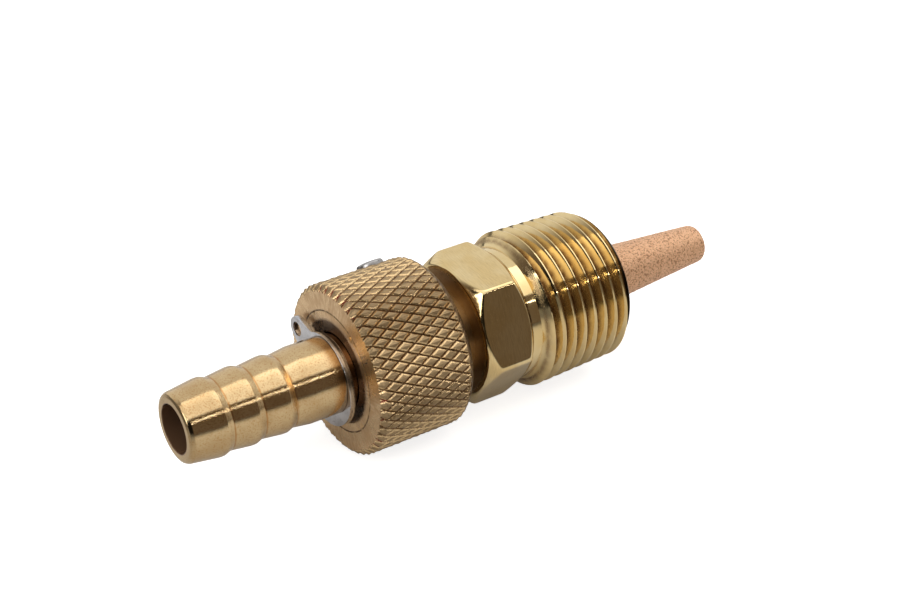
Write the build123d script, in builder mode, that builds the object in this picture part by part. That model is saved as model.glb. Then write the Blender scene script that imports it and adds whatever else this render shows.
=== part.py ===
"""In-line fuel petcock, lying along X: the barbed outlet tail points to -X, the inlet thread and filter to +X.

The origin lies on the axis, on the thread side of the hexagon. A body in brass carries a knurled sleeve on its
journal. The sleeve turns a quarter turn, and its inner pocket then joins two ports that the shut valve keeps
apart. Angles round the axis are measured from straight up (+Z) and grow towards -Y, which is also the way that
the sleeve turns to open.
"""

import os
from math import atan, ceil, cos, degrees, pi, radians, sin, sqrt, tan

from build123d import *

# Hexagon, with its corners chamfered at both ends
across_flats = 15.0
hexagon_length = 5.95
hexagon_face_radius = 7.34
corner_chamfer_length = 1.05
hexagon_turn = -23.8

# Inlet thread: a taper of 1 in 16 on the diameter, over a relief neck
relief_radius = 7.38
relief_length = 1.15
thread_length = 11.7
thread_end_radius = 8.335
thread_taper = 1 / 32
thread_run_in = 0.9
thread_end_chamfer = 0.8
threads_per_inch = 18
thread_groove_place = 0.86
thread_depth_share = 0.72
thread_crest_share = 0.09
thread_root_share = 0.05

# Journal that the sleeve turns on
journal_radius = 5.03
journal_length = 12.68
running_gap = 0.04

# Ports and passages, placed along the journal from the hexagon's front face
passage_radius = 2.6
port_radius = 1.0
port_margin = 0.1
inlet_port_place = 6.01
inlet_port_angle = 110
outlet_port_place = 9.01
outlet_port_angle = 170

# Seals on the journal
rear_seal_place = 3.81
front_seal_place = 11.71
seal_groove_width = 1.3
seal_groove_depth = 0.75
seal_width = 1.0
seal_clearance = 0.02
port_seal_radius = 1.75
port_seal_wall = 0.65
port_seal_seat_depth = 0.7
port_seal_slack = 0.05

# Knurled sleeve, measured over the knurl
sleeve_radius = 9.29
sleeve_length = 11.29
sleeve_gap = 2.64
sleeve_rear_chamfer_length = 0.77
sleeve_rear_chamfer_depth = 0.73
sleeve_front_chamfer_length = 0.52
sleeve_front_chamfer_depth = 0.48
knurl_teeth = 49
knurl_lean = 27.3
knurl_depth = 0.32
knurl_groove_width = 0.52
knurl_crossing_margin = 0.74
knurl_crossing_angle = 5.8
groove_overcut = 0.1
pocket_depth = 1.2
pocket_margin = 0.2
pocket_start_angle = 8
pocket_sweep = 84
quarter_turn = 90

# End washer, flush in the sleeve's front face
washer_radius = 6.59
washer_thickness = 1.0
washer_recess_radius = 5.49
washer_recess_depth = 0.15
washer_bore_clearance = 0.1

# Detent: a ball and a spring under the set screw
detent_place = 5.84
detent_angle = -40
ball_radius = 1.0
ball_guide_clearance = 0.05
track_depth = 0.6
track_clearance = 0.04
dimple_radius = 0.45
dimple_depth = 0.3
screw_radius = 1.5
screw_length = 1.6
screw_proud = 0.4
screw_edge_chamfer = 0.2
screw_slot_width = 0.4
screw_slot_depth = 0.5
screw_thread_extra = 0.6
spring_radius = 0.75
spring_wire_radius = 0.15
spring_turns = 4

# Hose tail, with three barbs
stem_radius = 4.16
tail_length = 19.78
tail_bore_radius = 2.62
nose_radius = 3.71
nose_rounding = 0.45
nose_bore_chamfer = 0.15
barb_count = 3
first_barb = 3.95
barb_pitch = 3.55
barb_land = 0.5
barb_drop = 0.75
barb_valley_radius = 3.89
stem_rise = 2.1
spigot_radius = 3.55
spigot_length = 1.9
spigot_end_clearance = 0.1

# Retaining ring: its rim is off centre and widest below, and it carries two eyelet lugs
ring_thickness = 0.62
ring_to_washer = 0.48
ring_groove_radius = 3.36
ring_seat_clearance = 0.09
ring_side_clearance = 0.04
ring_rim_radius = 5.1
ring_rim_offset = 0.95
ring_wide_angle = -150
lug_place_radius = 6.31
lug_radius = 1.35
lug_hole_radius = 0.8
lug_root_width = 4.6
lug_root_place = 3.9
lug_angles = (-66, -154)
ring_opening_angle = -110
ring_opening_width = 2.4

# Sintered filter cone, hollow and open at its base
filter_base_radius = 3.34
filter_tip_radius = 2.17
filter_length = 15.8
filter_seat_depth = 2.6
filter_wall = 0.9
filter_tip_wall = 1.2
filter_tip_rounding = 0.7

# Places along X that follow from the sizes
hexagon_front = -hexagon_length
journal_front = hexagon_front - journal_length
thread_start = relief_length
thread_end = thread_start + thread_length
sleeve_rear = hexagon_front - sleeve_gap
sleeve_front = sleeve_rear - sleeve_length
washer_rear = sleeve_front + washer_thickness
ring_rear = sleeve_front - ring_to_washer
ring_front = ring_rear - ring_thickness
tail_tip = journal_front - tail_length
inlet_port_x = hexagon_front - inlet_port_place
outlet_port_x = hexagon_front - outlet_port_place
detent_x = hexagon_front - detent_place
inlet_bore_end = inlet_port_x - port_radius - port_margin
outlet_bore_end = outlet_port_x + port_radius + port_margin
sleeve_bore_radius = journal_radius + running_gap
seal_floor_radius = journal_radius - seal_groove_depth
port_seal_floor = journal_radius - port_seal_seat_depth
ball_place_radius = journal_radius - track_depth + track_clearance + ball_radius
screw_outer_place = sleeve_radius + screw_proud
screw_inner_place = screw_outer_place - screw_length
ring_bore_radius = ring_groove_radius + ring_seat_clearance
knurl_start = sleeve_front - knurl_crossing_margin
knurl_length = sleeve_length + 2 * knurl_crossing_margin
knurl_lead = 2 * pi * sleeve_radius / tan(radians(knurl_lean))

# Thread form
thread_pitch = 25.4 / threads_per_inch
thread_depth = thread_depth_share * thread_pitch
thread_flank = (1 - thread_crest_share - thread_root_share) * thread_pitch / 2
thread_slope = thread_flank / thread_depth
thread_root_half = thread_root_share * thread_pitch / 2


def radial_plane(x, angle, radius=0.0):
    """Plane that faces straight out from the axis at an angle, with its own X along the axis."""
    outward = Vector(0, -sin(radians(angle)), cos(radians(angle)))
    return Plane(origin=Vector(x, 0, 0) + outward * radius, x_dir=(1, 0, 0), z_dir=outward)


def axial_plane(angle):
    """Plane that holds the axis and the direction at an angle, as (place along X, radius)."""
    return Plane(origin=(0, 0, 0), x_dir=(1, 0, 0), z_dir=(0, -cos(radians(angle)), -sin(radians(angle))))


def polar(radius, angle):
    """A point in the YZ plane's own axes, at an angle from straight up."""
    return (-radius * sin(radians(angle)), radius * cos(radians(angle)))


def thread_groove(place):
    """One turn of the thread's groove, which crosses the top line at a place along X."""
    root_radius = thread_end_radius + thread_taper * (thread_end - place) - thread_depth
    cut_height = thread_depth + groove_overcut
    cut_half = thread_root_half + thread_slope * cut_height
    with BuildPart() as groove:
        with BuildLine() as groove_line:
            Helix(
                pitch=thread_pitch,
                height=thread_pitch,
                radius=root_radius,
                center=(place, 0, 0),
                direction=(1, 0, 0),
                cone_angle=-degrees(atan(thread_taper)),
            )
        with BuildSketch(axial_plane(0)):
            with Locations((place, root_radius)):
                Polygon(
                    (-thread_root_half, 0),
                    (thread_root_half, 0),
                    (cut_half, cut_height),
                    (-cut_half, cut_height),
                    align=None,
                )
        sweep(path=groove_line.line, is_frenet=True)
    return groove.part


def knurl_groove(left_handed):
    """One V groove of the knurl, wound about its own Z from the height 0."""
    cut_depth = knurl_depth + groove_overcut
    cut_half = knurl_groove_width / 2 * cut_depth / knurl_depth
    with BuildPart() as groove:
        with BuildLine() as groove_line:
            Helix(
                pitch=knurl_lead,
                height=knurl_length,
                radius=sleeve_radius - knurl_depth,
                lefthand=left_handed,
            )
        with BuildSketch(Plane(origin=groove_line.line @ 0, x_dir=(1, 0, 0), z_dir=groove_line.line % 0)):
            Polygon((0, 0), (cut_depth, cut_half), (cut_depth, -cut_half), align=None)
        sweep(path=groove_line.line, is_frenet=True)
    return groove.part


os.makedirs("parts", exist_ok=True)

# Valve body: hexagon, then journal and thread turned from the same bar
corner_radius = across_flats / sqrt(3)
thread_start_radius = thread_end_radius + thread_taper * thread_length
with BuildPart() as valve_body:
    with BuildSketch(Plane.XY):
        with BuildLine():
            Polyline(
                (hexagon_front, 0),
                (hexagon_front, hexagon_face_radius),
                (hexagon_front + corner_chamfer_length, corner_radius),
                (-corner_chamfer_length, corner_radius),
                (0, hexagon_face_radius),
                (0, 0),
                close=True,
            )
        make_face()
    revolve(axis=Axis.X)
    with BuildSketch(Plane.YZ):
        RegularPolygon(across_flats / 2, 6, major_radius=False, rotation=hexagon_turn + 90)
    extrude(amount=-hexagon_length, mode=Mode.INTERSECT)

    with BuildSketch(Plane.XY):
        with BuildLine():
            Polyline(
                (journal_front, 0),
                (journal_front, journal_radius),
                (hexagon_front, journal_radius),
                (hexagon_front, 0),
                close=True,
            )
        make_face()
        with BuildLine():
            Polyline(
                (0, 0),
                (0, relief_radius),
                (thread_start, relief_radius),
                (thread_start + thread_run_in, thread_start_radius - thread_taper * thread_run_in),
                (thread_end - thread_end_chamfer, thread_end_radius + thread_taper * thread_end_chamfer),
                (thread_end, thread_end_radius - thread_end_chamfer),
                (thread_end, 0),
                close=True,
            )
        make_face()
    revolve(axis=Axis.X)

    # Thread: one turn of the groove after another, from over the relief neck to past the end
    thread_turns = ceil((thread_end + thread_pitch / 2 - thread_groove_place) / thread_pitch)
    for turn in range(thread_turns):
        add(thread_groove(thread_groove_place + turn * thread_pitch), mode=Mode.SUBTRACT)

    # Passages: a bore from each end, with a web left between them, and the seats for tail and filter
    with BuildSketch(Plane.XY):
        with BuildLine():
            Polyline(
                (journal_front, 0),
                (journal_front, spigot_radius),
                (journal_front + spigot_length + spigot_end_clearance, spigot_radius),
                (journal_front + spigot_length + spigot_end_clearance, passage_radius),
                (outlet_bore_end, passage_radius),
                (outlet_bore_end, 0),
                close=True,
            )
        make_face()
        with BuildLine():
            Polyline(
                (inlet_bore_end, 0),
                (inlet_bore_end, passage_radius),
                (thread_end - filter_seat_depth, passage_radius),
                (thread_end - filter_seat_depth, filter_base_radius),
                (thread_end, filter_base_radius),
                (thread_end, 0),
                close=True,
            )
        make_face()
        for seal_place in (rear_seal_place, front_seal_place):
            with Locations((hexagon_front - seal_place, seal_floor_radius)):
                Rectangle(seal_groove_width, 2 * seal_groove_depth, align=(Align.CENTER, Align.MIN))
    revolve(axis=Axis.X, mode=Mode.SUBTRACT)

    # Ports, and the flat seat of the seal round the outlet port
    for port_x, port_angle in ((inlet_port_x, inlet_port_angle), (outlet_port_x, outlet_port_angle)):
        with BuildSketch(radial_plane(port_x, port_angle)):
            Circle(port_radius)
        extrude(amount=2 * journal_radius, mode=Mode.SUBTRACT)
    with BuildSketch(radial_plane(outlet_port_x, outlet_port_angle, port_seal_floor)):
        Circle(port_seal_radius + port_seal_slack)
    extrude(amount=journal_radius, mode=Mode.SUBTRACT)

    # Detent track, round-ended, with a dimple at each end
    with BuildSketch(axial_plane(detent_angle)):
        with Locations((detent_x, ball_place_radius)):
            Circle(ball_radius + track_clearance)
    revolve(axis=Axis.X, revolution_arc=quarter_turn, mode=Mode.SUBTRACT)
    for dimple_angle in (detent_angle, detent_angle + quarter_turn):
        with Locations(radial_plane(detent_x, dimple_angle, ball_place_radius)):
            Sphere(ball_radius + track_clearance, mode=Mode.SUBTRACT)
        with BuildSketch(radial_plane(detent_x, dimple_angle, journal_radius - track_depth - dimple_depth)):
            Circle(dimple_radius)
        extrude(amount=journal_radius, mode=Mode.SUBTRACT)
valve_body.part.label = "valve_body"
export_step(valve_body.part, "parts/valve_body.step")

# Outlet tail: nose, three barbs, plain stem, and the spigot that goes into the body
with BuildPart() as outlet_tail:
    barb_line = [(tail_tip, tail_bore_radius), (tail_tip, nose_radius)]
    for barb in range(barb_count):
        crest_x = tail_tip + first_barb + barb * barb_pitch
        barb_line.append((crest_x - barb_land, stem_radius))
        barb_line.append((crest_x, stem_radius))
        barb_line.append((crest_x + barb_drop, barb_valley_radius))
    barb_line.append((crest_x + barb_drop + stem_rise, stem_radius))
    with BuildSketch(Plane.XY):
        with BuildLine():
            Polyline(
                *barb_line,
                (journal_front, stem_radius),
                (journal_front, spigot_radius),
                (journal_front + spigot_length, spigot_radius),
                (journal_front + spigot_length, tail_bore_radius),
                close=True,
            )
        make_face()
    revolve(axis=Axis.X)
    tip_edges = outlet_tail.edges().filter_by(GeomType.CIRCLE).group_by(Axis.X)[0].sort_by(SortBy.RADIUS)
    fillet(tip_edges[-1], nose_rounding)
    chamfer(tip_edges[0], nose_bore_chamfer)
    with BuildSketch(Plane.XY):
        with Locations((ring_front - ring_side_clearance, ring_groove_radius)):
            Rectangle(ring_thickness + 2 * ring_side_clearance, stem_radius, align=Align.MIN)
    revolve(axis=Axis.X, mode=Mode.SUBTRACT)
outlet_tail.part.label = "outlet_tail"
export_step(outlet_tail.part, "parts/outlet_tail.step")

# Knurled sleeve: the pocket inside it joins the ports when the sleeve is turned to open
with BuildPart() as knurled_sleeve:
    with BuildSketch(Plane.XY):
        with BuildLine():
            Polyline(
                (sleeve_front, washer_radius),
                (sleeve_front, sleeve_radius - sleeve_front_chamfer_depth),
                (sleeve_front + sleeve_front_chamfer_length, sleeve_radius),
                (sleeve_rear - sleeve_rear_chamfer_length, sleeve_radius),
                (sleeve_rear, sleeve_radius - sleeve_rear_chamfer_depth),
                (sleeve_rear, sleeve_bore_radius),
                (washer_rear, sleeve_bore_radius),
                (washer_rear, washer_radius),
                close=True,
            )
        make_face()
    revolve(axis=Axis.X)
    pocket_rear = inlet_port_x + port_radius + pocket_margin
    pocket_front = outlet_port_x - port_radius - pocket_margin
    with BuildSketch(axial_plane(pocket_start_angle)):
        with Locations(((pocket_rear + pocket_front) / 2, sleeve_bore_radius + pocket_depth)):
            Rectangle(pocket_rear - pocket_front, 2 * pocket_depth, align=(Align.CENTER, Align.MAX))
    revolve(axis=Axis.X, revolution_arc=pocket_sweep, mode=Mode.SUBTRACT)
    with BuildSketch(radial_plane(detent_x, detent_angle)):
        Circle(ball_radius + ball_guide_clearance)
    extrude(amount=sleeve_radius, mode=Mode.SUBTRACT)
    with BuildSketch(radial_plane(detent_x, detent_angle, screw_inner_place - screw_thread_extra)):
        Circle(screw_radius)
    extrude(amount=sleeve_radius, mode=Mode.SUBTRACT)

    # Knurl: right-handed grooves all round, then left-handed ones across them
    for left_handed in (False, True):
        with Locations(Plane.YZ.offset(knurl_start)):
            with PolarLocations(0, knurl_teeth, start_angle=knurl_crossing_angle + 90):
                add(knurl_groove(left_handed), mode=Mode.SUBTRACT)
knurled_sleeve.part.label = "knurled_sleeve"
export_step(knurled_sleeve.part, "parts/knurled_sleeve.step")

# End washer: keeps the sleeve between the journal's shoulder and the retaining ring
with BuildPart() as end_washer:
    with BuildSketch(Plane.XY):
        with BuildLine():
            Polyline(
                (sleeve_front + washer_recess_depth, stem_radius + washer_bore_clearance),
                (sleeve_front + washer_recess_depth, washer_recess_radius),
                (sleeve_front, washer_recess_radius),
                (sleeve_front, washer_radius),
                (washer_rear, washer_radius),
                (washer_rear, stem_radius + washer_bore_clearance),
                close=True,
            )
        make_face()
    revolve(axis=Axis.X)
end_washer.part.label = "end_washer"
export_step(end_washer.part, "parts/end_washer.step")

# Retaining ring: a stamped plate whose bore sits in the tail's groove
rim_centre = polar(ring_rim_offset, ring_wide_angle)
with BuildPart() as retaining_ring:
    with BuildSketch(Plane.YZ.offset(ring_front)):
        with Locations(rim_centre):
            Circle(ring_rim_radius)
        for lug_angle in lug_angles:
            with Locations(polar(lug_place_radius, lug_angle)):
                Circle(lug_radius)
            half_root = lug_root_width / 2
            with BuildLine(Plane(origin=(0, 0, 0), x_dir=(*polar(1, lug_angle), 0), z_dir=(0, 0, 1))):
                Polyline(
                    (lug_root_place, -half_root),
                    (lug_place_radius, -lug_radius),
                    (lug_place_radius, lug_radius),
                    (lug_root_place, half_root),
                    close=True,
                )
            make_face()
        Circle(ring_bore_radius, mode=Mode.SUBTRACT)
        for lug_angle in lug_angles:
            with Locations(polar(lug_place_radius, lug_angle)):
                Circle(lug_hole_radius, mode=Mode.SUBTRACT)
        with Locations(Location((0, 0, 0), (0, 0, ring_opening_angle + 90))):
            Rectangle(
                2 * lug_place_radius,
                ring_opening_width,
                align=(Align.MIN, Align.CENTER),
                mode=Mode.SUBTRACT,
            )
    extrude(amount=ring_thickness)
retaining_ring.part.label = "retaining_ring"
export_step(retaining_ring.part, "parts/retaining_ring.step")

# Set screw: a slotted screw that closes the detent's hole
with BuildPart() as set_screw:
    with BuildSketch(radial_plane(detent_x, detent_angle, screw_inner_place)):
        Circle(screw_radius)
    extrude(amount=screw_length)
    screw_outward = radial_plane(detent_x, detent_angle).z_dir
    screw_rims = set_screw.edges().filter_by(GeomType.CIRCLE)
    chamfer(screw_rims.sort_by(Axis((0, 0, 0), screw_outward))[-1], screw_edge_chamfer)
    with BuildSketch(radial_plane(detent_x, detent_angle, screw_outer_place - screw_slot_depth)):
        Rectangle(2 * screw_radius, screw_slot_width)
    extrude(amount=screw_slot_depth, mode=Mode.SUBTRACT)
set_screw.part.label = "set_screw"
export_step(set_screw.part, "parts/set_screw.step")

# Detent ball, at the height at which it rolls in the track
with BuildPart() as detent_ball:
    with Locations(radial_plane(detent_x, detent_angle, ball_place_radius)):
        Sphere(ball_radius)
detent_ball.part.label = "detent_ball"
export_step(detent_ball.part, "parts/detent_ball.step")

# Detent spring, from the ball's shoulder to the screw's inner end
spring_foot_rise = sqrt((ball_radius + spring_wire_radius) ** 2 - spring_radius**2)
spring_foot = ball_place_radius + spring_foot_rise
spring_height = screw_inner_place - spring_wire_radius - spring_foot
spring_plane = radial_plane(detent_x, detent_angle, spring_foot)
with BuildPart() as detent_spring:
    with BuildLine() as spring_line:
        Helix(
            pitch=spring_height / spring_turns,
            height=spring_height,
            radius=spring_radius,
            center=spring_plane.origin,
            direction=spring_plane.z_dir,
        )
    with BuildSketch(Plane(origin=spring_line.line @ 0, z_dir=spring_line.line % 0)):
        Circle(spring_wire_radius)
    sweep(path=spring_line.line, is_frenet=True)
detent_spring.part.label = "detent_spring"
export_step(detent_spring.part, "parts/detent_spring.step")

# Journal seals: rings that fill the space between groove floor and sleeve
seal_height = sleeve_bore_radius - seal_floor_radius - 2 * seal_clearance
seal_middle_radius = (sleeve_bore_radius + seal_floor_radius) / 2
with BuildPart() as front_seal:
    with BuildSketch(Plane.XY):
        with Locations((hexagon_front - front_seal_place, seal_middle_radius)):
            Ellipse(seal_width / 2, seal_height / 2)
    revolve(axis=Axis.X)
front_seal.part.label = "front_seal"
export_step(front_seal.part, "parts/front_seal.step")

with BuildPart() as rear_seal:
    with BuildSketch(Plane.XY):
        with Locations((hexagon_front - rear_seal_place, seal_middle_radius)):
            Ellipse(seal_width / 2, seal_height / 2)
    revolve(axis=Axis.X)
rear_seal.part.label = "rear_seal"
export_step(rear_seal.part, "parts/rear_seal.step")

# Port seal: a ring with a saddle-shaped top that lies against the sleeve's bore
with BuildPart() as port_seal:
    with BuildSketch(radial_plane(outlet_port_x, outlet_port_angle, port_seal_floor)):
        Circle(port_seal_radius)
        Circle(port_seal_radius - port_seal_wall, mode=Mode.SUBTRACT)
    extrude(amount=journal_radius)
    with BuildSketch(Plane.YZ.offset(outlet_port_x - 2 * port_seal_radius)):
        Circle(sleeve_bore_radius - seal_clearance)
    extrude(amount=4 * port_seal_radius, mode=Mode.INTERSECT)
port_seal.part.label = "port_seal"
export_step(port_seal.part, "parts/port_seal.step")

# Inlet filter: a hollow cone pressed into the thread's end
with BuildPart() as inlet_filter:
    filter_foot = thread_end - filter_seat_depth
    filter_tip = thread_end + filter_length
    with BuildSketch(Plane.XY):
        with BuildLine():
            Polyline(
                (filter_foot, filter_base_radius - filter_wall),
                (filter_foot, filter_base_radius),
                (thread_end, filter_base_radius),
                (filter_tip, filter_tip_radius),
                (filter_tip, 0),
                (filter_tip - filter_tip_wall, 0),
                (filter_tip - filter_tip_wall, filter_tip_radius - filter_wall),
                (thread_end, filter_base_radius - filter_wall),
                close=True,
            )
        make_face()
    revolve(axis=Axis.X)
    tip_rim = inlet_filter.edges().filter_by(GeomType.CIRCLE).group_by(Axis.X)[-1]
    fillet(tip_rim, filter_tip_rounding)
inlet_filter.part.label = "inlet_filter"
export_step(inlet_filter.part, "parts/inlet_filter.step")
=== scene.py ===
# %% [markdown]
# # A small brass fuel petcock
#
# This lesson dresses a fuel petcock that lies along the X axis. From left to right it has a barbed hose tail,
# a steel retaining ring, a diamond-knurled sleeve that turns to open the valve, a polished hexagon, a tapered
# pipe thread and a sintered filter cone. The frame gives every hidden size and place, so each piece here starts
# from the box of the part that it stands for.

# %% Load the frame
from math import atan2, cos, degrees, exp, floor, log, pi, radians, sin, sqrt, tan

import bmesh
import bpy
from mathutils import Matrix, Vector, noise


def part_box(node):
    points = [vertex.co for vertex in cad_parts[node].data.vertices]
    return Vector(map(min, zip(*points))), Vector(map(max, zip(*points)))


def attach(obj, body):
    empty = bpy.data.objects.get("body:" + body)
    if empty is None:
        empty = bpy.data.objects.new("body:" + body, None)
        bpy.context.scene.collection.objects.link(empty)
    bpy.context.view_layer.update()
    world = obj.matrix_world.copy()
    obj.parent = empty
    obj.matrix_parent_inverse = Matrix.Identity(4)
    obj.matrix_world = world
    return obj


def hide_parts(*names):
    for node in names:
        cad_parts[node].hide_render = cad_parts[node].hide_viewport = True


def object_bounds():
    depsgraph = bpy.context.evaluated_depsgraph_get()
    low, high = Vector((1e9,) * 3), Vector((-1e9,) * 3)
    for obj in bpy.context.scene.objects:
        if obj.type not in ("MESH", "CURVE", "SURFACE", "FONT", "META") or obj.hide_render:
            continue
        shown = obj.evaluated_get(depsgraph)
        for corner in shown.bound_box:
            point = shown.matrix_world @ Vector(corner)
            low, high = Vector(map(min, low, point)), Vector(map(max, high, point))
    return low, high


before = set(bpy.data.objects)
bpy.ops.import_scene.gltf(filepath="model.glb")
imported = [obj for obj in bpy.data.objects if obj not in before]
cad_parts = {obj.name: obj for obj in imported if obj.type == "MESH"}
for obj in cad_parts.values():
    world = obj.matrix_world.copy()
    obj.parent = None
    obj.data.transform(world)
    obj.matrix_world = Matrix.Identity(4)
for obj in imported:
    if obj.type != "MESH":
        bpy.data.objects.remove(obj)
frame_low, frame_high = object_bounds()
MM = 0.001
print("frame box in mm", [round(v / MM, 2) for v in (*frame_low, *frame_high)])

# %% [markdown]
# ## Places along the axis
#
# The frame's boxes say where each part starts and ends and how far it reaches from the axis. Sizes that no box
# can tell, such as the depth of a groove or the slope of a chamfer, are written here once, in millimetres.

# %% Places from the frame
def reach(node):
    """First and last place along X of a part, and its largest height over the axis, in millimetres."""
    low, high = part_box(node)
    return low[0] / MM, high[0] / MM, high[2] / MM

tail_tip, tail_end, stem_radius = reach("outlet_tail")
ring_front, ring_rear, ring_height = reach("retaining_ring")
sleeve_front, sleeve_rear, sleeve_radius = reach("knurled_sleeve")
washer_front, washer_rear, washer_radius = reach("end_washer")
body_front, thread_end, body_height = reach("valve_body")
filter_foot, filter_tip, filter_radius = reach("inlet_filter")
print("sleeve", round(sleeve_front, 2), round(sleeve_rear, 2), round(sleeve_radius, 2))
print("thread ends at", round(thread_end, 2), "tail starts at", round(tail_tip, 2))

# %% [markdown]
# ## Tools for turned pieces
#
# Most of this valve comes from a lathe, so most of its pieces are an outline spun round the axis. A real turned
# edge is never quite sharp: it catches a thin line of light. The helper bevels every edge that turns by more
# than a given angle, which makes those lines.

# %% Lathe helpers
def sharp_edges(bm, angle):
    """Edges between two faces that meet at more than an angle, in degrees."""
    closed = [edge for edge in bm.edges if len(edge.link_faces) == 2]
    return [edge for edge in closed if edge.calc_face_angle() > radians(angle)]


def soften(bm, width, angle=20, segments=3):
    """Rounds the sharp edges to a small width, in millimetres."""
    bmesh.ops.bevel(bm, geom=sharp_edges(bm, angle), offset=width * MM, affect="EDGES",
                    segments=segments, profile=0.5, material=-1, clamp_overlap=True)


def turn(outline, steps=192):
    """A closed outline of (place along X, radius) spun round the axis."""
    bm = bmesh.new()
    verts = [bm.verts.new((x * MM, 0, r * MM)) for x, r in outline]
    edges = [bm.edges.new(pair) for pair in zip(verts, verts[1:] + verts[:1])]
    bmesh.ops.spin(bm, geom=verts + edges, cent=(0, 0, 0), axis=(1, 0, 0), dvec=(0, 0, 0),
                   angle=2 * pi, steps=steps, use_merge=True, use_duplicate=False)
    bmesh.ops.remove_doubles(bm, verts=bm.verts, dist=0.0005 * MM)
    bmesh.ops.recalc_face_normals(bm, faces=bm.faces)
    return bm


def finished(name, bm, smooth_below=32):
    """Makes the object of a piece and shades it smooth, with edges over an angle kept sharp."""
    bmesh.ops.recalc_face_normals(bm, faces=bm.faces)
    mesh = bpy.data.meshes.new(name)
    bm.to_mesh(mesh)
    bm.free()
    mesh.shade_smooth()
    mesh.set_sharp_from_angle(angle=radians(smooth_below))
    piece = bpy.data.objects.new(name, mesh)
    bpy.context.scene.collection.objects.link(piece)
    print(name, "has", len(mesh.polygons), "faces")
    return piece

# %% [markdown]
# ## The hose tail
#
# The tail is turned from bar in one set-up: a rounded nose, three low barbs that let a hose slide on but not
# off, a plain stem and a groove for the retaining ring. Each barb is a long rise, a narrow land and a short drop.
# A loop writes the three of them into the outline, and the spin does the rest.

# %% Hose tail
tail_bore = 2.62
nose_radius = 3.71
first_barb, barb_pitch, barb_count = 3.95, 3.55, 3
barb_land, barb_drop, barb_valley = 0.5, 0.75, 3.89
stem_rise = 2.1
spigot_radius, spigot_length = 3.55, 1.9
groove_radius = 3.36
groove_play = 0.04

tail_outline = [(tail_tip, tail_bore), (tail_tip, nose_radius - 0.45), (tail_tip + 0.13, nose_radius - 0.13),
                (tail_tip + 0.45, nose_radius + 0.05)]
for barb in range(barb_count):
    crest = tail_tip + first_barb + barb * barb_pitch
    tail_outline += [(crest - barb_land, stem_radius), (crest, stem_radius), (crest + barb_drop, barb_valley)]
tail_outline += [
    (crest + barb_drop + stem_rise, stem_radius),
    (ring_front - groove_play, stem_radius),
    (ring_front - groove_play, groove_radius),
    (ring_rear + groove_play, groove_radius),
    (ring_rear + groove_play, stem_radius),
    (tail_end - spigot_length, stem_radius),
    (tail_end - spigot_length, spigot_radius),
    (tail_end, spigot_radius),
    (tail_end, tail_bore),
]
tail_mesh = turn(tail_outline)
soften(tail_mesh, 0.05, angle=5, segments=2)
outlet_tail = finished("outlet_tail_turned", tail_mesh, smooth_below=6)
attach(outlet_tail, "fixed_valve")
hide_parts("outlet_tail")

# %% [markdown]
# ## The hexagon and the journal
#
# On the bench this piece is a hexagonal bar turned at both ends, and then buffed until no edge is sharp. Planes
# could cut the flats out of a round blank, but the buffed edges between them would be hard to bevel evenly. So a
# round blank with many rings is spun instead, and each of its points is drawn in to whatever is nearest: a flat,
# the next flat, or the cone at either end. A soft minimum of these four rounds all the edges at once. The
# points are crowded towards the corners and towards both ends, because that is where the edges lie.

# %% Hexagon and journal
across_flats = 15.0
hexagon_turn = -23.8
hexagon_front = -5.95
hexagon_face_radius = 7.34
chamfer_length = 1.05
corner_radius = across_flats / sqrt(3)
chamfer_slope = (corner_radius - hexagon_face_radius) / chamfer_length
hexagon_steps = 384
hexagon_rings = 44
buffing = 0.15
crowding = 0.11
rim_width = 0.15
rim_run = rim_width / sqrt(1 + chamfer_slope ** 2)
journal_radius = 5.03
passage_radius = 2.6
web_front, web_rear = hexagon_front - 7.91, hexagon_front - 7.11
seal_floor_radius = 4.28
seal_groove_width = 1.3


def seal_groove(place):
    """Four outline points of a seal groove round the journal, seen from the front."""
    near, far = place - seal_groove_width / 2, place + seal_groove_width / 2
    return [(near, journal_radius), (near, seal_floor_radius), (far, seal_floor_radius), (far, journal_radius)]


def rim_points(face, inward):
    """Points of the small rounding between a flat end of the hexagon and its cone."""
    corner = Vector((face, hexagon_face_radius))
    start = corner - Vector((0, rim_width))
    end = corner + Vector((inward * rim_run, chamfer_slope * rim_run))
    return [tuple(start.lerp(corner, share).lerp(corner.lerp(end, share), share)) for share in (0, 0.25, 0.5, 0.75)]


def crowded(share):
    """Moves a share between 0 and 1 towards the nearer end."""
    return share - crowding * sin(2 * pi * share)


def milled(x, angle):
    """Radius that the flats and the cones leave at a place along X and an angle in degrees."""
    off_flat = abs((angle - hexagon_turn) % 60 - 30)
    limits = [across_flats / 2 / cos(radians(off)) for off in (off_flat, 60 - off_flat)]
    limits += [hexagon_face_radius + past * chamfer_slope for past in (x - hexagon_front, -x)]
    least = min(limits)
    return least - buffing * log(sum(exp((least - limit) / buffing) for limit in limits))


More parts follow.
